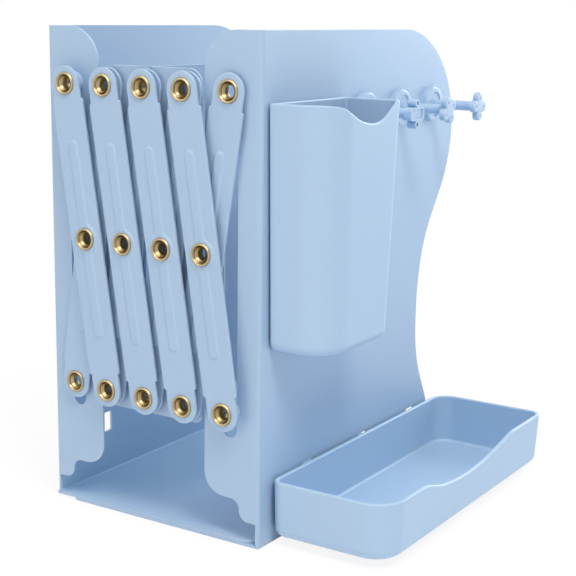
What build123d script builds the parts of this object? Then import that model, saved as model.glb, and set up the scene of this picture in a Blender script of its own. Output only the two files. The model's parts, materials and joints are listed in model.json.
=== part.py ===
from build123d import *

import os
from math import asin, cos, degrees, sin

# A magazine file organizer: two bent sheet-steel end panels joined across the front by a
# scissor lattice of pressed links on hollow brass eyelets, with a divider hung in the
# middle, and a pen holder, a tray and three hooks on the right end panel.
# X runs to the right, Y to the back and Z up, in millimetres. The origin is on the floor,
# midway between the closed end panels and midway along the right base plate.

# One overrun serves every cut that passes through a surface.
overrun = 2.0
# Running play between stacked flat pieces, and radial play between a pin and its hole.
stack_play = 0.05
pin_play = 0.05

# End panels
panel_height = 205.0
closed_width = 107.0
panel_sheet = 1.0
panel_bend = 0.5
panel_edge = 0.25
panel_depth = 163.5
# Rear edge from the top straight down to the foot, as shares of panel depth and height.
rear_edge_shares = (
    (0.700, 1.000),
    (0.831, 0.977),
    (0.957, 0.893),
    (1.000, 0.785),
    (0.960, 0.662),
    (0.862, 0.545),
    (0.816, 0.420),
    (0.812, 0.330),
    (0.840, 0.220),
    (0.897, 0.128),
    (0.975, 0.000),
)

# Front flanges of the end panels
flange_width = 26.8
flange_top_corner = 15.0
flange_edge_corner = 9.5
flange_low = 19.0
flange_foot = 10.2
ogee_inset = 9.6
ogee_radius = 4.3

# Base plates
base_depth = 150.0
right_base_reach = 98.5
right_base_corner = 3.0
left_base_end_gap = 0.6
left_base_corner = 8.0
base_plate_gap = 0.1

# Scissor lattice
top_pin_drop = 23.0
link_length = 128.0
column_pitch = 19.75
column_count = 5
link_sheet = 1.2
link_gap = 2.1
panel_gap = 1.4
link_width = 16.0
head_radius = 7.1
shoulder_drop = 6.8
shoulder_corner = 0.8
link_edge = 0.3
bead_width = 5.2
bead_height = 0.5
bead_wall = 0.5
bead_slope_angle = 30
bead_edge = 1.0
bead_waist = 2.0
bead_top_drop = 23.0
bead_low_rise = 22.0
boss_radius = 6.4
slot_width = 6.6
slot_top_drop = 16.0
slot_low_drop = 11.0

# Brass eyelets and nylon spacers
eyelet_lip_radius = 4.7
eyelet_crown_radius = 3.95
eyelet_lip_height = 0.8
eyelet_throat_depth = 0.5
eyelet_hole_radius = 2.5
eyelet_shank_radius = 3.0
eyelet_back_radius = 4.3
eyelet_back_height = 0.6
eyelet_back_crown_radius = 3.7
spacer_radius = 4.8

# Divider, two bent sheets back to back
divider_sheet = 0.8
divider_flange_half = 25.5
divider_top_drop = 15.0
divider_low_drop = 8.0
divider_depth = 118.0
divider_bend = 0.5
divider_edge = 0.2
divider_top_corner = 6.5
divider_low_corner = 3.5
divider_rear_corner = 18.0
divider_pin_play = 0.3
divider_notch_depth = 3.2
divider_notch_margin = 0.9

# Hook tabs of the pen holder and the tray, and their slots in the end panels
tab_slot_length = 8.0
tab_slot_height = 9.2
tab_slot_corner = 0.8
tab_side_play = 0.4
tab_rest_play = 0.1
tab_neck_height = 6.7
tab_lip_drop = 2.2
tab_lip_thickness = 1.2
tab_lip_play = 0.3
tab_lip_corner = 0.5
tray_slot_drop = 9.5
tray_slot_front_margin = 31.5
tray_slot_rear_margin = 29.0
tray_slot_count = 3
left_slot_shift = 5.7
left_slot_rise = 3.1
holder_slot_drop = 26.0
holder_slot_front_margin = 17.2
holder_slot_rear_margin = 12.8
holder_slot_count = 2

# Pen holder
holder_gap = 1.0
holder_front = 2.8
holder_length = 56.0
holder_width = 28.2
holder_top_drop = 27.0
holder_height = 97.0
holder_wall = 1.8
holder_floor = 2.2
holder_draft_front = 2.4
holder_draft_rear = 4.1
holder_draft_out = 1.6
holder_front_corner = 15.5
holder_rear_corner = 6.0
holder_inner_corner = 1.2
holder_base_edge = 4.5
holder_back_edge = 1.0
holder_inner_edge = 1.0
holder_rim_edge = 0.6
holder_scoop_start = 6.0
holder_scoop_end = 55.0
holder_scoop_drop = 7.9
# Scoop in the outer wall, as shares of its length and of its drop.
holder_scoop_shares = (
    (0.000, 0.000),
    (0.070, 0.035),
    (0.147, 0.140),
    (0.218, 0.360),
    (0.292, 0.585),
    (0.369, 0.772),
    (0.471, 0.924),
    (0.612, 1.000),
    (0.731, 0.892),
    (0.833, 0.629),
    (0.908, 0.310),
    (0.961, 0.100),
    (1.000, 0.000),
)

# Tray
tray_gap = 1.1
tray_clearance = 3.2
tray_front = 6.0
tray_length = 152.5
tray_width = 55.0
tray_height = 24.4
tray_wall = 1.9
tray_floor = 2.0
tray_draft = 1.1
tray_outer_front_corner = 13.0
tray_outer_rear_corner = 6.0
tray_inner_rear_corner = 10.0
tray_inner_front_corner = 5.5
tray_base_edge = 4.8
tray_inner_edge = 1.2
tray_rim_edge = 0.6
tray_scoop_start = 28.0
tray_scoop_end = 119.0
tray_scoop_drop = 6.2
# Scoop in the outer wall, as shares of its length and of its drop.
tray_scoop_shares = (
    (0.00, 0.00),
    (0.17, 0.56),
    (0.34, 0.92),
    (0.45, 1.00),
    (0.56, 0.965),
    (0.69, 0.78),
    (0.84, 0.42),
    (0.92, 0.19),
    (1.00, 0.00),
)

# Hooks
hook_top_drop = 33.8
hook_front_gap = 17.9
hook_rear_gap = 25.2
disc_radius = 7.9
disc_thickness = 3.2
disc_rim_width = 2.2
disc_dish = 0.5
disc_edge = 0.9
magnet_radius = 5.0
magnet_thickness = 1.2
magnet_play = 0.05
socket_depth = 1.0
stem_radius = 2.2
stem_reach = 25.9
collar_radius = 2.9
collar_length = 1.2
lobe_radius = 2.55
lobe_offset = 3.75
flower_core_radius = 3.6
flower_thickness = 2.6
flower_edge = 0.7
dimple_radius = 0.55
dimple_depth = 0.4
pad_length = 11.8
pad_height = 5.6
pad_corner = 1.9
pad_thickness = 3.2
pad_rim = 0.7
pad_recess = 0.6
tube_radius = 1.7
tube_hole_radius = 0.95
tube_length = 4.2
tube_offset = 4.4

outer_face = closed_width / 2
inner_face = outer_face - panel_sheet
top_pin_height = panel_height - top_pin_drop
half_link = link_length / 2
rest_angle = asin(column_pitch / link_length)
mid_pin_height = top_pin_height - half_link * cos(rest_angle)
low_pin_height = top_pin_height - link_length * cos(rest_angle)
last_column = column_pitch * (column_count - 1) / 2
slot_top = top_pin_height - slot_top_drop
slot_bottom = low_pin_height - slot_low_drop
divider_top = panel_height - divider_top_drop
divider_bottom = low_pin_height - divider_low_drop
holder_top = panel_height - holder_top_drop
holder_bottom = holder_top - holder_height
holder_slot_floor = holder_top - holder_slot_drop
tray_top = tray_clearance + tray_height
tray_slot_floor = tray_top - tray_slot_drop

# Layers of the lattice, from the panels' front face forwards.
back_link_rear = -panel_gap
back_link_front = back_link_rear - link_sheet
front_link_rear = back_link_front - link_gap
front_link_front = front_link_rear - link_sheet

middle_of_base = base_depth / 2


def slab(x_low, x_high, y_low, y_high, z_low, z_high):
    """Box between three pairs of faces."""
    size = Box(x_high - x_low, y_high - y_low, z_high - z_low, align=(Align.MIN,) * 3)
    return Pos(x_low, y_low, z_low) * size


def rounded_face(corners):
    """Flat face through corners given as x, y and corner radius."""
    face = make_face(Polyline(*[(x, y) for x, y, _ in corners], close=True))
    for x, y, radius in corners:
        if radius > 0:
            corner = face.vertices().sort_by_distance((x, y, 0))[0]
            face = fillet(corner, radius)
    return face


def across(face, front, back):
    """Face drawn in X and Z, made solid between two Y values."""
    return Pos(0, back, 0) * extrude(Plane.XZ * face, amount=back - front)


def sideways(face, low, high):
    """Face drawn in Y and Z, made solid between two X values."""
    return Pos(low, 0, 0) * extrude(Plane.YZ * face, amount=high - low)


def bent_face(leg_x, leg_y, thickness, bend):
    """L section of a bent sheet, outer corner at the origin, legs along +X and +Y."""
    corners = (
        (0, 0, bend + thickness),
        (leg_x, 0, 0),
        (leg_x, thickness, 0),
        (thickness, thickness, bend),
        (thickness, leg_y, 0),
        (0, leg_y, 0),
    )
    return rounded_face(corners)


def pressed(solid, axis, radius, keep):
    """Round the rims of a sheet's two faces square to an axis, where keep is true."""
    faces = solid.faces().sort_by(axis)
    edges = [edge for edge in faces[0].edges() + faces[-1].edges() if keep(edge.center())]
    return fillet(edges, radius)


def wall_face(bottom):
    """Side wall of an end panel in Y and Z."""
    points = [(y * panel_depth, z * panel_height) for y, z in rear_edge_shares]
    points[-1] = (points[-1][0], bottom)
    rear = Spline(*points, tangents=[(1, 0), (1, -1.35)])
    front = Polyline(points[-1], (0, bottom), (0, panel_height), points[0])
    return make_face([rear, front])


def flange_face():
    """Front flange of the right end panel in X and Z."""
    free_edge = outer_face - flange_width
    step = outer_face - ogee_inset
    corners = (
        (outer_face + overrun, flange_foot, 0),
        (step, flange_foot, ogee_radius),
        (step, flange_low, ogee_radius),
        (free_edge, flange_low, flange_edge_corner),
        (free_edge, panel_height, flange_top_corner),
        (outer_face + overrun, panel_height, 0),
    )
    return rounded_face(corners)


def spread(start, end, count):
    """Even places from a start to an end."""
    return [start + (end - start) * index / (count - 1) for index in range(count)]


def tray_tab_places():
    """Y of the tray's hook tabs."""
    return spread(tray_front + tray_slot_front_margin,
                  tray_front + tray_length - tray_slot_rear_margin, tray_slot_count)


def holder_tab_places():
    """Y of the pen holder's hook tabs."""
    return spread(holder_front + holder_slot_front_margin,
                  holder_front + holder_length - holder_slot_rear_margin,
                  holder_slot_count)


def tab_slots(floor, middles):
    """Row of slots for hook tabs, cut through the right-hand side wall."""
    slot = RectangleRounded(tab_slot_length, tab_slot_height, tab_slot_corner)
    cuts = Part()
    for middle in middles:
        place = Pos(middle, floor + tab_slot_height / 2)
        cuts += sideways(place * slot, inner_face - overrun, outer_face + overrun)
    return cuts


def end_panel(bottom, base_reach, base_corner, slot_shift, slot_rise):
    """Right-hand end panel: side wall, front flange and base plate bent from one sheet."""
    fold = panel_sheet + panel_bend
    fold_top = bottom + fold
    standing = bent_face(flange_width, panel_depth + overrun, panel_sheet, panel_bend)
    standing = Pos(outer_face, 0, fold_top) * mirror(standing, Plane.YZ)
    panel = extrude(standing, amount=panel_height - fold_top)
    lying = mirror(bent_face(base_reach, fold, panel_sheet, panel_bend), Plane.YZ)
    panel += across(Pos(outer_face, bottom) * lying, 0, panel_depth)

    # The wall keeps its outline, the flange its own, and the base plate its depth.
    wall = sideways(wall_face(bottom), outer_face - fold, outer_face)
    wall = pressed(wall, Axis.X, panel_edge, lambda place: place.Y > 0 and place.Z > bottom)
    flange = pressed(across(flange_face(), 0, panel_sheet), Axis.Y, panel_edge,
                     lambda place: place.X < outer_face)
    flange &= slab(0, outer_face - fold, 0, panel_sheet, 0, panel_height)
    base = slab(outer_face - base_reach, outer_face - fold, 0, base_depth,
                bottom, bottom + panel_sheet)
    panel &= wall + flange + base
    ends = panel.edges().filter_by(Axis.Z).group_by(Axis.X)[0]
    panel = fillet(ends, base_corner)

    slot = Rot(0, 0, 90) * SlotOverall(slot_top - slot_bottom, slot_width)
    slot = Pos(last_column, (slot_top + slot_bottom) / 2) * slot
    pin_hole = Pos(last_column, top_pin_height) * Circle(eyelet_shank_radius + pin_play)
    panel -= across(slot + pin_hole, -overrun, panel_sheet + overrun)
    panel -= tab_slots(tray_slot_floor + slot_rise,
                       [middle - slot_shift for middle in tray_tab_places()])
    return panel - tab_slots(holder_slot_floor, holder_tab_places())


def divider_half():
    """Right-hand half of the divider: half the flange and one of the two plates."""
    section = bent_face(divider_flange_half, divider_depth, divider_sheet, divider_bend)
    half = extrude(Pos(0, 0, divider_bottom) * section, amount=divider_top - divider_bottom)
    flange = rounded_face((
        (0, divider_bottom, 0),
        (divider_flange_half, divider_bottom, divider_low_corner),
        (divider_flange_half, divider_top, divider_top_corner),
        (0, divider_top, 0),
    ))
    plate = rounded_face((
        (0, divider_bottom, 0),
        (divider_depth, divider_bottom, divider_low_corner),
        (divider_depth, divider_top, divider_rear_corner),
        (0, divider_top, 0),
    ))
    fold = divider_sheet + divider_bend
    flange = pressed(across(flange, 0, fold), Axis.Y, divider_edge, lambda place: place.X > 0)
    half &= flange + sideways(plate, 0, fold)

    # A pin hole and a guide slot at the seam, with the plate cut back behind both.
    slot_half = slot_width / 2
    guide_low = low_pin_height - divider_pin_play
    half -= slab(0, slot_half, -overrun, fold + overrun, guide_low, slot_top)
    rounds = Pos(0, guide_low) * Circle(slot_half) + Pos(0, slot_top) * Circle(slot_half)
    rounds += Pos(0, top_pin_height) * Circle(eyelet_shank_radius + pin_play)
    half -= across(rounds, -overrun, fold + overrun)
    notch_half = eyelet_back_radius + divider_notch_margin
    notch_rear = divider_sheet + divider_notch_depth
    for low, high in ((guide_low, slot_top), (top_pin_height, top_pin_height)):
        half -= slab(-overrun, fold, divider_sheet, notch_rear, low - notch_half,
                     high + notch_half)
    return half


def link_outline():
    """Outline of a link in X and Z, centred on its middle pin."""
    body_half = half_link - shoulder_drop
    outline = Rectangle(head_radius * 2, link_length)
    outline += RectangleRounded(link_width, body_half * 2, shoulder_corner)
    for end in (-half_link, half_link):
        outline += Pos(0, end) * Circle(head_radius)
    return outline


def bead_outline(inset):
    """Outline of the pressed bead and its middle boss, drawn in by an inset."""
    top = half_link - bead_top_drop
    low = bead_low_rise - half_link
    bead = Rot(0, 0, 90) * SlotOverall(top - low - inset * 2, bead_width - inset * 2)
    outline = Pos(0, (top + low) / 2) * bead + Circle(boss_radius - inset)
    waist = [corner for corner in outline.vertices() if abs(corner.Y) < boss_radius]
    return fillet(waist, bead_waist)


def link():
    """Pressed link with its front face at Y zero, standing upright on its middle pin."""
    bar = pressed(across(link_outline(), 0, link_sheet), Axis.Y, link_edge,
                  lambda place: True)
    bar += extrude(Plane.XZ * bead_outline(0), amount=bead_height, taper=90 - bead_slope_angle)
    bar = fillet(bar.faces().sort_by(Axis.Y)[0].edges(), bead_edge)
    front = bar.faces().filter_by(Axis.Y).sort_by(Axis.Y)[1]
    bar = fillet(front.inner_wires().edges(), bead_edge)
    bar -= across(bead_outline(bead_wall), link_sheet - bead_height, link_sheet + overrun)
    holes = Circle(eyelet_shank_radius + pin_play)
    holes = holes + Pos(0, half_link) * holes + Pos(0, -half_link) * holes
    return bar - across(holes, -overrun, link_sheet + overrun)


def eyelet(length):
    """Hollow brass eyelet along Y, its front lip seated at zero and its back at a length."""
    lip = (eyelet_lip_radius, 0)
    crown = (eyelet_crown_radius, -eyelet_lip_height)
    throat = (eyelet_hole_radius, eyelet_throat_depth)
    lip_bulge = (eyelet_lip_radius - eyelet_lip_height / 5, -eyelet_lip_height * 2 / 3)
    throat_bulge = (
        (eyelet_crown_radius + eyelet_hole_radius * 3) / 4,
        (eyelet_throat_depth - eyelet_lip_height) / 3,
    )
    back_throat = (eyelet_hole_radius, length - eyelet_throat_depth)
    back_crown = (eyelet_back_crown_radius, length + eyelet_back_height)
    back_lip = (eyelet_back_radius, length)
    outline = [
        ThreePointArc(lip, lip_bulge, crown),
        ThreePointArc(crown, throat_bulge, throat),
        Polyline(throat, back_throat, back_crown, back_lip, (eyelet_shank_radius, length),
                 (eyelet_shank_radius, 0), lip),
    ]
    return revolve(make_face(outline), Axis.Y)


def spacer(length):
    """Plain ring along Y for an eyelet's shank."""
    ring = Circle(spacer_radius) - Circle(eyelet_shank_radius + pin_play)
    return across(ring, stack_play, length - stack_play)


def column(index):
    """X of a column of pins, counted from zero at the left."""
    return column_pitch * index - last_column


def hook_tab(wall):
    """Tab through a right-hand slot: its neck rests on the slot's floor, at the origin."""
    half = tab_slot_length / 2 - tab_side_play
    back = inner_face - tab_lip_play - tab_lip_thickness
    neck = slab(back, wall, -half, half, tab_rest_play, tab_rest_play + tab_neck_height)
    lip = slab(back, back + tab_lip_thickness, -half, half, -tab_lip_drop,
               tab_rest_play + tab_neck_height)
    edges = lip.edges().filter_by(Axis.Y).group_by(Axis.Z)[0]
    return neck + fillet(edges, tab_lip_corner)


def cavity(low_face, top_face, edge):
    """Inside of an open box, between two stacked faces, rounded at its floor."""
    space = loft([low_face, top_face], ruled=True)
    return fillet(space.faces().sort_by(Axis.Z)[0].edges(), edge)


def round_rim(body, rim_low, radius):
    """Round the edges that lie wholly above a height."""
    edges = [edge for edge in body.edges() if edge.bounding_box().min.Z > rim_low]
    return fillet(edges, radius)


def scoop(shares, start, end, top, drop):
    """Dip in a rim, drawn in Y and Z."""
    length = end - start
    points = [(start + along * length, top - down * drop) for along, down in shares]
    dip = Spline(*points, tangents=[(1, 0), (1, 0)])
    above = top + overrun
    lid = Polyline(points[-1], (end, above), (start, above), points[0])
    return make_face([dip, lid])


def holder_face(height, inset, radius_cut, shrink):
    """Plan of the pen holder at a height, drawn in by an inset and by its draft."""
    low_x = outer_face + holder_gap + inset
    high_x = outer_face + holder_gap + holder_width - inset - holder_draft_out * shrink
    low_y = holder_front + inset + holder_draft_front * shrink
    high_y = holder_front + holder_length - inset - holder_draft_rear * shrink
    panel_corner = holder_inner_corner if inset > 0 else 0
    corners = (
        (low_x, low_y, panel_corner),
        (high_x, low_y, holder_front_corner - radius_cut),
        (high_x, high_y, holder_rear_corner - radius_cut),
        (low_x, high_y, panel_corner),
    )
    return Pos(0, 0, height) * rounded_face(corners)


def pen_holder():
    """Pen holder, open at the top, with a scooped outer wall and two hook tabs."""
    body = loft([holder_face(holder_bottom, 0, 0, 1), holder_face(holder_top, 0, 0, 0)],
                ruled=True)
    base_edges = body.faces().sort_by(Axis.Z)[0].edges().sort_by(Axis.X)
    body = fillet(base_edges[1:], holder_base_edge)
    back_edges = body.faces().sort_by(Axis.X)[0].edges().sort_by(Axis.Z)
    body = fillet(back_edges[:-1], holder_back_edge)

    floor = holder_bottom + holder_floor
    floor_share = 1 - holder_floor / holder_height
    body -= cavity(holder_face(floor, holder_wall, holder_wall, floor_share),
                   holder_face(holder_top, holder_wall, holder_wall, 0), holder_inner_edge)
    dip = scoop(holder_scoop_shares, holder_scoop_start, holder_scoop_end, holder_top,
                holder_scoop_drop)
    middle = outer_face + holder_gap + holder_width / 2
    body -= sideways(dip, middle, outer_face + holder_gap + holder_width + overrun)
    body = round_rim(body, holder_top - holder_scoop_drop - holder_rim_edge, holder_rim_edge)
    tab = hook_tab(outer_face + holder_gap + holder_wall)
    for middle in holder_tab_places():
        body += Pos(0, middle, holder_slot_floor) * tab
    return body


def tray_face(height, inset, shrink):
    """Plan of the tray at a height, drawn in by an inset and by its draft."""
    draft = tray_draft * shrink
    low_x = outer_face + tray_gap + inset
    high_x = outer_face + tray_gap + tray_width - inset - draft
    low_y = tray_front + inset + draft
    high_y = tray_front + tray_length - inset - draft
    corners = (
        (low_x, low_y, tray_inner_front_corner - inset),
        (high_x, low_y, tray_outer_front_corner - inset),
        (high_x, high_y, tray_outer_rear_corner - inset),
        (low_x, high_y, tray_inner_rear_corner - inset),
    )
    return Pos(0, 0, height) * rounded_face(corners)


def tray():
    """Tray hung beside the end panel, with a low outer wall and three hook tabs."""
    body = loft([tray_face(tray_clearance, 0, 1), tray_face(tray_top, 0, 0)], ruled=True)
    body = fillet(body.faces().sort_by(Axis.Z)[0].edges(), tray_base_edge)
    floor_share = 1 - tray_floor / tray_height
    body -= cavity(tray_face(tray_clearance + tray_floor, tray_wall, floor_share),
                   tray_face(tray_top, tray_wall, 0), tray_inner_edge)
    dip = scoop(tray_scoop_shares, tray_front + tray_scoop_start,
                tray_front + tray_scoop_end, tray_top, tray_scoop_drop)
    middle = outer_face + tray_gap + tray_width / 2
    body -= sideways(dip, middle, outer_face + tray_gap + tray_width + overrun)
    body = round_rim(body, tray_top - tray_scoop_drop - tray_rim_edge, tray_rim_edge)
    tab = hook_tab(outer_face + tray_gap + tray_wall)
    for middle in tray_tab_places():
        body += Pos(0, middle, tray_slot_floor) * tab
    return body


def hook_disc():
    """Round hook base on the panel's face, with a magnet recess and a peg socket."""
    disc = extrude(Plane.YZ * Circle(disc_radius), amount=disc_thickness)
    disc = fillet(disc.edges().group_by(Axis.X)[-1], disc_edge)
    dish = Circle(disc_radius - disc_rim_width)
    disc -= sideways(dish, disc_thickness - disc_dish, disc_thickness + overrun)
    disc -= sideways(Circle(magnet_radius + magnet_play), -overrun,
                     magnet_thickness + magnet_play)
    floor = disc_thickness - disc_dish - socket_depth
    socket = Circle(stem_radius + pin_play)
    return disc + sideways(Circle(collar_radius), floor, disc_thickness) - sideways(
        socket, floor, disc_thickness + overrun)


def stem():
    """Round stem along X from its socket to the hook's end."""
    start = disc_thickness - disc_dish - socket_depth + stack_play
    shaft = sideways(Circle(stem_radius), start, stem_reach)
    return shaft + sideways(Circle(collar_radius), stem_reach - collar_length
                            - flower_thickness, stem_reach - flower_thickness)


def flower_peg(turn):
    """Peg with a four-lobed end, turned by an angle about its stem."""
    outline = Circle(flower_core_radius)
    for quarter in range(4):
        outline += Rot(0, 0, 90 * quarter) * Pos(lobe_offset, 0) * Circle(lobe_radius)
    head = sideways(outline, stem_reach - flower_thickness, stem_reach)
    head = fillet(head.edges().group_by(Axis.X)[-1], flower_edge)
    dimple = Circle(dimple_radius)
    for quarter in range(4):
        place = Rot(0, 0, 90 * quarter) * Pos(lobe_offset, 0)
        head -= sideways(place * dimple, stem_reach - dimple_depth, stem_reach + overrun)
    return stem() + Rot(turn, 0, 0) * head


def pad_peg():
    """Peg with an oblong dished pad and a short tube above and below it."""
    outline = RectangleRounded(pad_length, pad_height, pad_corner)
    peg = stem() + sideways(outline, stem_reach - pad_thickness, stem_reach)
    dish = RectangleRounded(pad_length - pad_rim * 2, pad_height - pad_rim * 2,
                            pad_corner - pad_rim)
    peg -= sideways(dish, stem_reach - pad_recess, stem_reach + overrun)
    bore = Part()
    for side in (-tube_offset, tube_offset):
        place = Pos(0, side)
        peg += sideways(place * Circle(tube_radius), stem_reach - tube_length, stem_reach)
        bore += sideways(place * Circle(tube_hole_radius), stem_reach - tube_length
                         - overrun, stem_reach + overrun)
    return peg - bore


def lattice_nodes():
    """Links, eyelets and spacers of the scissor lattice, by node name."""
    bar = link()
    lean = degrees(rest_angle)
    front_depth = back_link_rear - front_link_front
    through_depth = panel_sheet - front_link_front + stack_play
    short_depth = panel_sheet - back_link_front + stack_play
    divider_depth_in = divider_sheet - front_link_front + stack_play
    front_gap = (front_link_rear, link_gap)
    rear_gap = (back_link_rear, panel_gap)
    whole_gap = (front_link_rear, -front_link_rear)

    nodes = {}
    rings = {}
    top_depths = (through_depth, front_depth, divider_depth_in, front_depth)
    top_rings = ((whole_gap,), (front_gap,), (front_gap, rear_gap), (front_gap,))
    low_depths = (front_depth, divider_depth_in, front_depth, through_depth)
    low_rings = ((front_gap,), (front_gap, rear_gap), (front_gap,), (whole_gap,))
    for index in range(column_count - 1):
        number = index + 1
        middle = (column(index) + column(index + 1)) / 2
        turned = Pos(middle, front_link_front, mid_pin_height) * Rot(0, -lean, 0)
        nodes[f"front_link_{number}"] = turned * bar
        turned = Pos(middle, back_link_front, mid_pin_height) * Rot(0, lean, 0)
        nodes[f"back_link_{number}"] = turned * bar

        top = (column(index), top_pin_height)
        low = (column(index + 1), low_pin_height)
        seat = front_link_front - bead_height
        nodes[f"top_eyelet_{number}"] = (
            Pos(top[0], front_link_front, top[1]) * eyelet(top_depths[index]))
        nodes[f"middle_eyelet_{number}"] = Pos(middle, seat, mid_pin_height) * eyelet(
            front_depth)
        nodes[f"bottom_eyelet_{number + 1}"] = (
            Pos(low[0], front_link_front, low[1]) * eyelet(low_depths[index]))
        group = Pos(middle, front_link_rear - bead_height, mid_pin_height) * spacer(link_gap)
        for (x, z), stack in ((top, top_rings[index]), (low, low_rings[index])):
            for start, length in stack:
                group += Pos(x, start, z) * spacer(length)
        rings[f"spacers_{number}"] = group

    right_top = (column(column_count - 1), top_pin_height)
    left_low = (column(0), low_pin_height)
    pairs = (("top_eyelet_5", "top_right_spacer", right_top),
             ("bottom_eyelet_1", "bottom_left_spacer", left_low))
    for eyelet_name, spacer_name, (x, z) in pairs:
        nodes[eyelet_name] = Pos(x, back_link_front, z) * eyelet(short_depth)
        rings[spacer_name] = Pos(x, back_link_rear, z) * spacer(panel_gap)
    nodes.update(rings)
    return nodes


def organizer():
    """Every node of the organizer, by name, with the flanges' front face at Y zero."""
    left_bottom = panel_sheet + base_plate_gap
    left_reach = closed_width - panel_sheet - left_base_end_gap
    left = end_panel(left_bottom, left_reach, left_base_corner, left_slot_shift,
                     left_slot_rise)
    nodes = {
        "right_end_panel": end_panel(0, right_base_reach, right_base_corner, 0, 0),
        "left_end_panel": mirror(left, Plane.YZ),
    }
    half = divider_half()
    nodes["divider_right_half"] = half
    nodes["divider_left_half"] = mirror(half, Plane.YZ)
    nodes.update(lattice_nodes())
    nodes["pen_holder"] = pen_holder()
    nodes["tray"] = tray()

    magnet = sideways(Circle(magnet_radius), 0, magnet_thickness)
    pegs = (("front", pad_peg()), ("middle", flower_peg(30)), ("rear", flower_peg(0)))
    places = spread(holder_front + holder_length + hook_front_gap,
                    panel_depth - hook_rear_gap, len(pegs))
    for (name, peg), middle in zip(pegs, places):
        place = Pos(outer_face, middle, panel_height - hook_top_drop)
        nodes[f"hook_disc_{name}"] = place * hook_disc()
        nodes[f"hook_magnet_{name}"] = place * magnet
        nodes[f"hook_peg_{name}"] = place * peg
    return nodes


os.makedirs("parts", exist_ok=True)
for node_name, solid in organizer().items():
    export_step(Pos(0, -middle_of_base, 0) * solid, f"parts/{node_name}.step")
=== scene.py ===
"""Dresses the magazine file organizer: finishes, eyelets, studio, lights and camera."""

import json
import logging
import math
from dataclasses import dataclass, field
from enum import Enum
from typing import Any, Callable, Sequence

import bpy
import numpy as np
from mathutils import Matrix, Vector


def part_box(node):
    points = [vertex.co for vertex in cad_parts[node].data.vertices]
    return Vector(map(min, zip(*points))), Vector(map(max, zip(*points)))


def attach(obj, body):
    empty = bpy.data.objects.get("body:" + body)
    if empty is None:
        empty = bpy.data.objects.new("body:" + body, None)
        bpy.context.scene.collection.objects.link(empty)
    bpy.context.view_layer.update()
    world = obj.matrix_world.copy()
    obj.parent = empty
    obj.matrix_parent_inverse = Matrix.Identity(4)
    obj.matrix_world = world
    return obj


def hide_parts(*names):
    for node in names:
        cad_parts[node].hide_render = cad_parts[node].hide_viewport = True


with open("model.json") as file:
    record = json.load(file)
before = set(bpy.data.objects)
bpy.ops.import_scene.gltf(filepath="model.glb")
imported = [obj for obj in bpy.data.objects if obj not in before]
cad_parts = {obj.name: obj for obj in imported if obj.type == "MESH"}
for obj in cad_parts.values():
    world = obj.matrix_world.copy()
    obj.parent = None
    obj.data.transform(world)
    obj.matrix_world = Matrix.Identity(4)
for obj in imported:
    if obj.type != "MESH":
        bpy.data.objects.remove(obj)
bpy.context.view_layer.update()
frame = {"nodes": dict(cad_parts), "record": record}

logging.basicConfig(level=logging.INFO, format="%(message)s")
LOG = logging.getLogger("organizer")

MM = 0.001
PLAIN_WHITE = "#FFFFFF"

# The sRGB curve: a straight foot up to its limit, and a shifted power above it.
SRGB_LIMIT, SRGB_FOOT = 0.04045, 12.92
SRGB_SHIFT, SRGB_POWER = 0.055, 2.4

# Sockets of a colour mix: its share, its two colours and its result.
MIX_SHARE, MIX_FIRST, MIX_SECOND, MIX_RESULT = 0, 6, 7, 2

Array = np.ndarray
NodeSocket = bpy.types.NodeSocket
Place = tuple[float, float, float]


def linear(code: str) -> tuple[float, float, float, float]:
    """Turn an sRGB hex colour into a linear colour with full alpha.

    Args:
        code: Six hex digits after a hash.

    Returns:
        Red, green, blue and alpha for a shader socket.
    """
    channels = np.array(list(bytes.fromhex(code[1:]))) / 255
    power = ((channels + SRGB_SHIFT) / (1 + SRGB_SHIFT)) ** SRGB_POWER
    bright = np.where(channels > SRGB_LIMIT, power, channels / SRGB_FOOT)
    return float(bright[0]), float(bright[1]), float(bright[2]), 1.0


class NodeKind(Enum):
    """Shader nodes that the finishes, the world and the floor use."""

    OBJECT_PLACE = "ShaderNodeTexCoord"
    NOISE = "ShaderNodeTexNoise"
    BUMP = "ShaderNodeBump"
    BEVEL = "ShaderNodeBevel"
    MIX = "ShaderNodeMix"
    RANGE = "ShaderNodeMapRange"
    GEOMETRY = "ShaderNodeNewGeometry"
    VECTOR_MATH = "ShaderNodeVectorMath"
    MATH = "ShaderNodeMath"
    LIGHT_PATH = "ShaderNodeLightPath"
    BACKGROUND = "ShaderNodeBackground"
    DIFFUSE = "ShaderNodeBsdfDiffuse"
    EMISSION = "ShaderNodeEmission"
    MIX_SHADER = "ShaderNodeMixShader"
    WORLD_OUTPUT = "ShaderNodeOutputWorld"


def add_node(
    tree: bpy.types.NodeTree,
    kind: NodeKind,
    settings: dict[str | int, Any] | None = None,
    links: dict[str | int, NodeSocket] | None = None,
) -> bpy.types.Node:
    """Add one node with its settings and its incoming links.

    Args:
        tree: Node tree that receives the node.
        kind: Which node to add.
        settings: Attributes by name, and socket values by name or number of the input.
        links: Source sockets by the name or number of the input that they feed.

    Returns:
        The new node.
    """
    node = tree.nodes.new(kind.value)
    for name, value in (settings or {}).items():
        if isinstance(name, int) or name in node.inputs:
            node.inputs[name].default_value = value
        else:
            setattr(node, name, value)
    for name, source in (links or {}).items():
        tree.links.new(source, node.inputs[name])
    return node


def start_material(
    name: str,
) -> tuple[bpy.types.Material, bpy.types.NodeTree, bpy.types.Node]:
    """Start a node material.

    Args:
        name: Name of the material.

    Returns:
        The material, its node tree and its surface shader.
    """
    material = bpy.data.materials.new(name)
    material.use_nodes = True
    tree = material.node_tree
    return material, tree, tree.nodes["Principled BSDF"]


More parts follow.
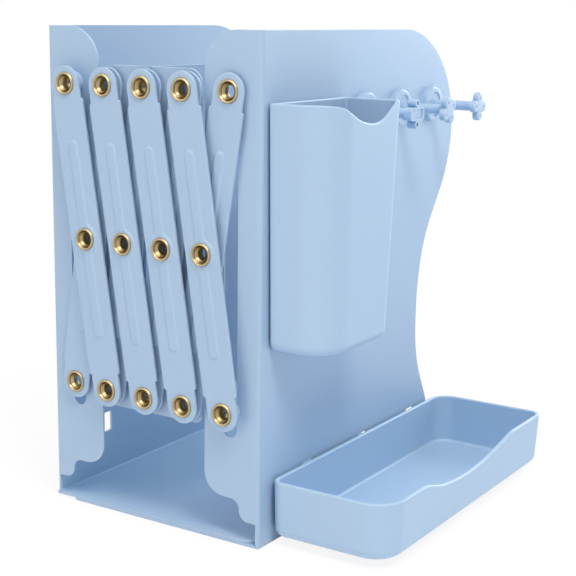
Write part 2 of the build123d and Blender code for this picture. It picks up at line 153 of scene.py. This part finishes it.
def mottled(
    tree: bpy.types.NodeTree,
    place: NodeSocket,
    colours: tuple[str, str],
    patch_mm: float,
    detail: float,
) -> NodeSocket:
    """Mix two colours in soft patches.

    Args:
        tree: Node tree of the material.
        place: Socket of the place on the object.
        colours: The two colours.
        patch_mm: Size of a patch.
        detail: How many finer layers the patches have.

    Returns:
        Socket of the mixed colour.
    """
    patch = add_node(tree, NodeKind.NOISE,
                     {"Scale": 1 / (patch_mm * MM), "Detail": detail}, {"Vector": place})
    mix = add_node(tree, NodeKind.MIX, {
        "data_type": "RGBA",
        MIX_FIRST: linear(colours[0]),
        MIX_SECOND: linear(colours[1]),
    }, {MIX_SHARE: patch.outputs["Fac"]})
    return mix.outputs[MIX_RESULT]


@dataclass(frozen=True)
class PaintedHighlightMask:
    """Mask of edges for a painted highlight: how far a rounded normal leaves the face's.

    The dot product of the two normals is one on a flat face and falls at an edge. From
    start down to full it is stretched to the mask's range, zero up to its strength.
    """

    samples: int = 6
    start: float = 0.97
    full: float = 0.75
    strength: float = 0.8

    def build(self, tree: bpy.types.NodeTree, width_mm: float) -> NodeSocket:
        """Add the mask's nodes.

        Args:
            tree: Node tree of the material.
            width_mm: Radius over which the normal is rounded.

        Returns:
            Socket of the mask.
        """
        rounded = add_node(tree, NodeKind.BEVEL,
                           {"samples": self.samples, "Radius": width_mm * MM})
        face = add_node(tree, NodeKind.GEOMETRY)
        match = add_node(tree, NodeKind.VECTOR_MATH, {"operation": "DOT_PRODUCT"},
                         {0: rounded.outputs["Normal"], 1: face.outputs["Normal"]})
        mask = add_node(tree, NodeKind.RANGE, {
            "From Min": self.start, "From Max": self.full,
            "To Min": 0.0, "To Max": self.strength,
        }, {"Value": match.outputs["Value"]})
        return mask.outputs["Result"]


@dataclass(frozen=True)
class SatinFinish:
    """Opaque finish: patches of two close colours, a fine grain and a painted edge
    highlight.
    """

    name: str
    colour: str
    shade: str
    roughness: float
    ior: float
    painted_edge_highlight: str
    painted_highlight_mm: float
    patch_mm: float
    patch_detail: float
    grain_mm: float
    grain_height_mm: float
    grain_detail: float
    grain_strength: float

    def build(self) -> bpy.types.Material:
        """Build the material from its fields.

        Returns:
            The new material.
        """
        material, tree, surface = start_material(self.name)
        place = add_node(tree, NodeKind.OBJECT_PLACE).outputs["Object"]
        body = mottled(tree, place, (self.shade, self.colour), self.patch_mm,
                       self.patch_detail)
        # The pale edge colour mixed in here is a painted highlight along every edge.
        mix = add_node(tree, NodeKind.MIX,
                       {"data_type": "RGBA", MIX_SECOND: linear(self.painted_edge_highlight)},
                       {MIX_SHARE: PaintedHighlightMask().build(tree, self.painted_highlight_mm), MIX_FIRST: body})
        grain = add_node(tree, NodeKind.NOISE,
                         {"Scale": 1 / (self.grain_mm * MM), "Detail": self.grain_detail},
                         {"Vector": place})
        bump = add_node(tree, NodeKind.BUMP, {
            "Strength": self.grain_strength,
            "Distance": self.grain_height_mm * MM,
        }, {"Height": grain.outputs["Fac"]})
        surface.inputs["Roughness"].default_value = self.roughness
        surface.inputs["IOR"].default_value = self.ior
        tree.links.new(mix.outputs[MIX_RESULT], surface.inputs["Base Color"])
        tree.links.new(bump.outputs["Normal"], surface.inputs["Normal"])
        return material


@dataclass(frozen=True)
class PowderCoat(SatinFinish):
    """Polyester powder coat baked on sheet steel: satin, with a faint orange peel.

    Its edges are painted a little paler, as a painted highlight.
    """

    name: str = "powder_coated_sheet_steel"
    colour: str = "#A2C2DC"
    shade: str = "#9FBFDA"
    roughness: float = 0.42
    ior: float = 1.5
    # Pale colour painted along the edges: a painted highlight.
    painted_edge_highlight: str = "#C9E2F3"
    painted_highlight_mm: float = 0.45
    patch_mm: float = 60.0
    patch_detail: float = 2.0
    grain_mm: float = 0.9
    grain_height_mm: float = 0.012
    grain_detail: float = 1.0
    grain_strength: float = 0.5


@dataclass(frozen=True)
class MouldedPlastic(SatinFinish):
    """Injection-moulded nylon, polypropylene or ABS: even, with faint flow marks.

    Its skin is very slightly wavy. Its rims are rounded by the mould; a paler colour
    painted along its edges is a painted highlight. Nylon is the dullest, polypropylene is
    satin, and ABS shines most.
    """

    ior: float = 1.49
    # Pale colour painted along the edges: a painted highlight.
    painted_edge_highlight: str = "#CFE6F5"
    painted_highlight_mm: float = 0.5
    patch_mm: float = 45.0
    patch_detail: float = 1.0
    grain_mm: float = 1.6
    grain_height_mm: float = 0.006
    grain_detail: float = 2.0
    grain_strength: float = 0.4


@dataclass(frozen=True)
class RolledMetal:
    """Bright metal, rolled or plated and then barrelled: scratches vary its gloss.

    Soft clouds of tarnish, a few millimetres wide, keep it from looking new. The real
    scratches are finer: these are drawn coarse enough to show.
    """

    name: str
    colour: str
    tarnish: str
    roughness: float
    cloud_mm: float = 4.0
    cloud_detail: float = 3.0
    scratch_mm: float = 0.5
    scratch_detail: float = 2.0
    gloss_shares: tuple[float, float] = (0.7, 1.4)

    def build(self) -> bpy.types.Material:
        """Build the material from its fields.

        Returns:
            The new material.
        """
        material, tree, surface = start_material(self.name)
        place = add_node(tree, NodeKind.OBJECT_PLACE).outputs["Object"]
        body = mottled(tree, place, (self.tarnish, self.colour), self.cloud_mm,
                       self.cloud_detail)
        scratch = add_node(tree, NodeKind.NOISE, {
            "Scale": 1 / (self.scratch_mm * MM),
            "Detail": self.scratch_detail,
        }, {"Vector": place})
        gloss = add_node(tree, NodeKind.RANGE, {
            "To Min": self.roughness * self.gloss_shares[0],
            "To Max": self.roughness * self.gloss_shares[1],
        }, {"Value": scratch.outputs["Fac"]})
        surface.inputs["Metallic"].default_value = 1.0
        tree.links.new(body, surface.inputs["Base Color"])
        tree.links.new(gloss.outputs["Result"], surface.inputs["Roughness"])
        return material


def wear(piece: bpy.types.Object, material: bpy.types.Material) -> None:
    """Give a piece one material on every face."""
    piece.data.materials.clear()
    piece.data.materials.append(material)


def surface_piece(
    name: str,
    points: Array,
    body: str,
    material: bpy.types.Material,
) -> bpy.types.Object:
    """Make a piece from a grid of points, closed around both directions.

    Args:
        name: Name of the piece.
        points: Grid of places in metres, shaped rows by columns by three. Rows and
            columns both join up with their first again, like a ring's.
        body: Body that the piece rides on.
        material: Finish of the piece.

    Returns:
        The new object, smooth shaded.
    """
    rows, columns = points.shape[:2]
    index = np.arange(rows * columns).reshape(rows, columns)
    below = np.roll(index, -1, axis=0)
    faces = np.stack(
        [index, np.roll(index, -1, axis=1), np.roll(below, -1, axis=1), below], axis=-1
    ).reshape(-1, 4)
    mesh = bpy.data.meshes.new(name)
    mesh.from_pydata(points.reshape(-1, 3).tolist(), [], faces.tolist())
    mesh.polygons.foreach_set("use_smooth", np.ones(len(faces), bool))
    mesh.update()
    piece = bpy.data.objects.new(name, mesh)
    bpy.context.scene.collection.objects.link(piece)
    wear(piece, material)
    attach(piece, body)
    return piece


@dataclass
class Eyelets:
    """Hollow brass eyelets, each a profile carried once round its own axis."""

    lip_radius: float = 4.7 * MM
    hole_radius: float = 2.4 * MM
    crown_radius: float = 4.15 * MM
    groove_radius: float = 3.55 * MM
    groove_share: float = 0.2
    throat_depth: float = 1.5 * MM
    throat_slope_share: float = 0.6
    lip_height: float = 0.8 * MM
    shank_radius: float = 3.0 * MM
    back_radius: float = 4.3 * MM
    back_height_share: float = 0.7
    back_seat_share: float = 0.75
    quarter_points: int = 9
    sides: int = 72
    material: bpy.types.Material = field(
        default_factory=RolledMetal(
            "rolled_brass", colour="#C6B693", tarnish="#AB9A71", roughness=0.3
        ).build
    )

    def profile(self, depth: float) -> Array:
        """Closed section of an eyelet as radius and distance behind its seat.

        The front lip is a quarter ellipse from the seat up to its crown and another from
        the crown down to a groove. A cone, eased at both ends by half a cosine, falls
        from the groove into the hole. The rear flange is a plain rounded ring.

        Args:
            depth: Distance from the front seat to the rear seat.

        Returns:
            Points of the section in order.
        """
        turn = np.linspace(0, math.pi / 2, self.quarter_points)
        rise = self.lip_radius - self.crown_radius
        lip = np.stack([self.crown_radius + rise * np.cos(turn),
                        -self.lip_height * np.sin(turn)], axis=1)
        fall = self.crown_radius - self.groove_radius
        groove = -self.lip_height * self.groove_share
        inner = np.stack([self.crown_radius - fall * np.sin(turn),
                          groove + (groove + self.lip_height) * -np.cos(turn)], axis=1)
        run = turn / turn[-1]
        ease = (1 - np.cos(turn * 2)) / 2
        slope = self.throat_slope_share * run + (1 - self.throat_slope_share) * ease
        throat = np.stack([
            self.groove_radius - (self.groove_radius - self.hole_radius) * run,
            groove + self.throat_depth * slope,
        ], axis=1)
        rear_crown = (self.back_radius + self.hole_radius) / 2
        rear_height = self.lip_height * self.back_height_share
        back = np.stack([
            rear_crown - (rear_crown - self.hole_radius) * np.cos(turn),
            depth + rear_height * np.sin(turn),
        ], axis=1)
        rim = np.stack([
            rear_crown + (self.back_radius - rear_crown) * np.sin(turn),
            depth + rear_height * np.cos(turn),
        ], axis=1)
        shank = np.array([[self.shank_radius, depth], [self.shank_radius, 0.0]])
        return np.concatenate([lip, inner[1:], throat[1:], back, rim[1:], shank])

    def build(
        self, nodes: Sequence[str], bodies: dict[str, str]
    ) -> list[bpy.types.Object]:
        """Replace each eyelet node with its turned surface.

        Each point of the section goes once round an axis along y, through the middle of
        the node's box: its radius times the cosine of the angle is added to x, and its
        radius times the sine to z.

        Args:
            nodes: Names of the eyelet nodes.
            bodies: Body of each node.

        Returns:
            The new pieces, in the nodes' order.
        """
        pieces = []
        angle = np.linspace(0, 2 * math.pi, self.sides, endpoint=False)
        for node in nodes:
            low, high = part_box(node)
            centre = (low + high) / 2
            seat = low.y + self.lip_height
            rear_seat = high.y - self.lip_height * self.back_seat_share
            section = self.profile(rear_seat - seat)
            radius, behind = section[:, 0], section[:, 1]
            points = np.stack([
                centre.x + radius[:, None] * np.cos(angle),
                seat + np.repeat(behind[:, None], self.sides, axis=1),
                centre.z + radius[:, None] * np.sin(angle),
            ], axis=-1)
            piece = surface_piece(f"{node}_turned", points, bodies[node],
                                  self.material)
            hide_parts(node)
            pieces.append(piece)
        return pieces


@dataclass
class Finishes:
    """Finishes of the carried-over CAD nodes, by the record's material slot."""

    builders: dict[str, Callable[[], bpy.types.Material]] = field(
        default_factory=lambda: {
            "painted_steel": PowderCoat().build,
            "nylon": MouldedPlastic(
                "nylon_washer", colour="#A2C3E0", shade="#9BBCDA", roughness=0.5
            ).build,
            "moulded_plastic": MouldedPlastic(
                "moulded_polypropylene", colour="#A5C6E1", shade="#A3C4DF",
                roughness=0.38
            ).build,
            "hook_plastic": MouldedPlastic(
                "moulded_abs", colour="#A5C6E1", shade="#A1C2DF", roughness=0.3
            ).build,
            "magnet": RolledMetal(
                "nickel_plated_magnet", colour="#C9C9C6", tarnish="#B4B4B0",
                roughness=0.25
            ).build,
        }
    )

    def dress(
        self, record: dict[str, Any], nodes: dict[str, bpy.types.Object]
    ) -> dict[str, str]:
        """Give every CAD node the finish of its slot.

        Args:
            record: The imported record.
            nodes: CAD objects by node name.

        Returns:
            Name of the finish of each dressed node.
        """
        made = {slot: build() for slot, build in self.builders.items()}
        worn = {}
        for part in record["subparts"]:
            if part["material_slot"] in made:
                material = made[part["material_slot"]]
                wear(nodes[part["node"]], material)
                worn[part["node"]] = material.name
        return worn


def seen_rays(tree: bpy.types.NodeTree) -> NodeSocket:
    """Tell camera, mirror and glass rays from the rays that carry light.

    Args:
        tree: Node tree of the material or world.

    Returns:
        Socket that is one for the three kinds, added up and clamped, and zero else.
    """
    path = add_node(tree, NodeKind.LIGHT_PATH)
    pair = add_node(tree, NodeKind.MATH, {"operation": "ADD"}, {
        0: path.outputs["Is Camera Ray"],
        1: path.outputs["Is Glossy Ray"],
    })
    both = add_node(tree, NodeKind.MATH, {"operation": "ADD", "use_clamp": True}, {
        0: pair.outputs[0],
        1: path.outputs["Is Transmission Ray"],
    })
    return both.outputs[0]


@dataclass(frozen=True)
class Lamp:
    """Square area lamp: place in metres, side of the square in metres, power in watts."""

    name: str
    place: Place
    size: float
    power: float
    tint: str = "#FFEBDD"

    def hang(self, aim: Place) -> None:
        """Add the lamp to the scene.

        Args:
            aim: Place that the lamp shines at.
        """
        data = bpy.data.lights.new(self.name, "AREA")
        data.size = self.size
        data.energy = self.power
        data.color = linear(self.tint)[:3]
        lamp = bpy.data.objects.new(self.name, data)
        bpy.context.scene.collection.objects.link(lamp)
        lamp.location = self.place
        away = Vector(aim) - Vector(self.place)
        lamp.rotation_euler = away.to_track_quat("-Z", "Y").to_euler()


@dataclass
class Studio:
    """Pale floor, even light and the camera at the photograph's view.

    Lengths and places are in metres and angles in radians, unless a name says otherwise.
    """

    lamps: tuple[Lamp, ...] = (
        Lamp("front", (-0.45, -1.2, 0.6), size=0.7, power=2.85),
        Lamp("top", (0.1, -0.35, 1.2), size=0.8, power=6.0),
        Lamp("side", (0.8, -0.5, 1.35), size=0.45, power=10.8),
        Lamp("back", (0.25, 1.2, 0.5), size=0.8, power=10.8, tint="#E0EAF3"),
    )
    lamp_aim: Place = (0.02, 0.0, 0.1)
    world_level: float = 0.46
    sky: str = "#EAEDFF"
    floor_size: float = 6.0
    floor_white: float = 0.87
    shadow_reach: tuple[float, float] = (0.12, 0.4)
    camera_place: Place = (327.747 * MM, -485.59 * MM, 211.33 * MM)
    azimuth: float = math.radians(32.518)
    elevation: float = math.radians(11.856)
    roll: float = math.radians(0.84)
    focal_pixels: float = 1310.3
    image_pixels: float = 576.0
    sensor_mm: float = 36.0
    nearest: float = 10 * MM

    def world(self) -> None:
        """White world for the camera and mirrors, a plain level for the light."""
        world = bpy.data.worlds.new("studio_white")
        bpy.context.scene.world = world
        world.use_nodes = True
        tree = world.node_tree
        tree.nodes.clear()
        shown = add_node(tree, NodeKind.BACKGROUND,
                         {"Strength": 1.0, "Color": linear(PLAIN_WHITE)})
        light = add_node(tree, NodeKind.BACKGROUND,
                         {"Strength": self.world_level, "Color": linear(self.sky)})
        mix = add_node(tree, NodeKind.MIX_SHADER, None, {
            0: seen_rays(tree),
            1: light.outputs[0],
            2: shown.outputs[0],
        })
        add_node(tree, NodeKind.WORLD_OUTPUT, None, {"Surface": mix.outputs[0]})

    def floor(self) -> None:
        """Wide pale floor: it shows the shadow nearby and is plain white further off."""
        half = self.floor_size / 2
        corners = [(-half, -half, 0), (half, -half, 0), (half, half, 0), (-half, half, 0)]
        mesh = bpy.data.meshes.new("floor")
        mesh.from_pydata(corners, [], [(0, 1, 2, 3)])
        floor = bpy.data.objects.new("floor", mesh)
        bpy.context.scene.collection.objects.link(floor)
        material, tree, surface = start_material("floor_white")
        tree.nodes.remove(surface)
        paper = add_node(tree, NodeKind.DIFFUSE, {"Color": linear(PLAIN_WHITE)})
        glow = add_node(tree, NodeKind.EMISSION,
                        {"Strength": 1.0, "Color": linear(PLAIN_WHITE)})
        place = add_node(tree, NodeKind.OBJECT_PLACE).outputs["Object"]
        away = add_node(tree, NodeKind.VECTOR_MATH, {"operation": "LENGTH"}, {0: place})
        white = add_node(tree, NodeKind.RANGE, {
            "From Min": self.shadow_reach[0], "From Max": self.shadow_reach[1],
            "To Min": self.floor_white, "To Max": 1.0,
        }, {"Value": away.outputs["Value"]})
        share = add_node(tree, NodeKind.MATH, {"operation": "MULTIPLY"},
                         {0: seen_rays(tree), 1: white.outputs["Result"]})
        mix = add_node(tree, NodeKind.MIX_SHADER, None, {
            0: share.outputs[0],
            1: paper.outputs[0],
            2: glow.outputs[0],
        })
        output = tree.nodes["Material Output"]
        tree.links.new(mix.outputs[0], output.inputs["Surface"])
        wear(floor, material)

    def camera(self) -> None:
        """Camera fitted to the photograph: place, azimuth, elevation, roll and lens."""
        data = bpy.data.cameras.new("camera")
        data.sensor_width = self.sensor_mm
        data.lens = self.focal_pixels / self.image_pixels * self.sensor_mm
        data.clip_start = self.nearest
        camera = bpy.data.objects.new("camera", data)
        bpy.context.scene.collection.objects.link(camera)
        back = Vector((
            math.sin(self.azimuth) * math.cos(self.elevation),
            -math.cos(self.azimuth) * math.cos(self.elevation),
            math.sin(self.elevation),
        ))
        right = (-back).cross(Vector((0, 0, 1))).normalized()
        up = right.cross(-back)
        rolled_right = right * math.cos(self.roll) + up * math.sin(self.roll)
        rolled_up = up * math.cos(self.roll) - right * math.sin(self.roll)
        turn = Matrix((rolled_right, rolled_up, back)).transposed().to_4x4()
        camera.matrix_world = Matrix.Translation(self.camera_place) @ turn
        bpy.context.scene.camera = camera

    def build(self) -> None:
        """Set up the whole studio."""
        bpy.context.scene.view_settings.view_transform = "Standard"
        self.world()
        self.floor()
        for lamp in self.lamps:
            lamp.hang(self.lamp_aim)
        self.camera()


def main() -> None:
    """Dress the organizer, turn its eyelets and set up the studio."""
    record = frame["record"]
    nodes = frame["nodes"]
    bodies = {
        node: body
        for body, members in record["behaviour"]["bodies"].items()
        for node in members
    }
    for node, finish in Finishes().dress(record, nodes).items():
        LOG.info("%s: dressed in %s", node, finish)
    for piece in Eyelets().build([node for node in nodes if "eyelet" in node], bodies):
        LOG.info("%s: turned in %s", piece.name, piece.active_material.name)
    studio = Studio()
    studio.build()
    LOG.info("studio: floor, %d lamps and camera set", len(studio.lamps))


if __name__ == "__main__":
    main()
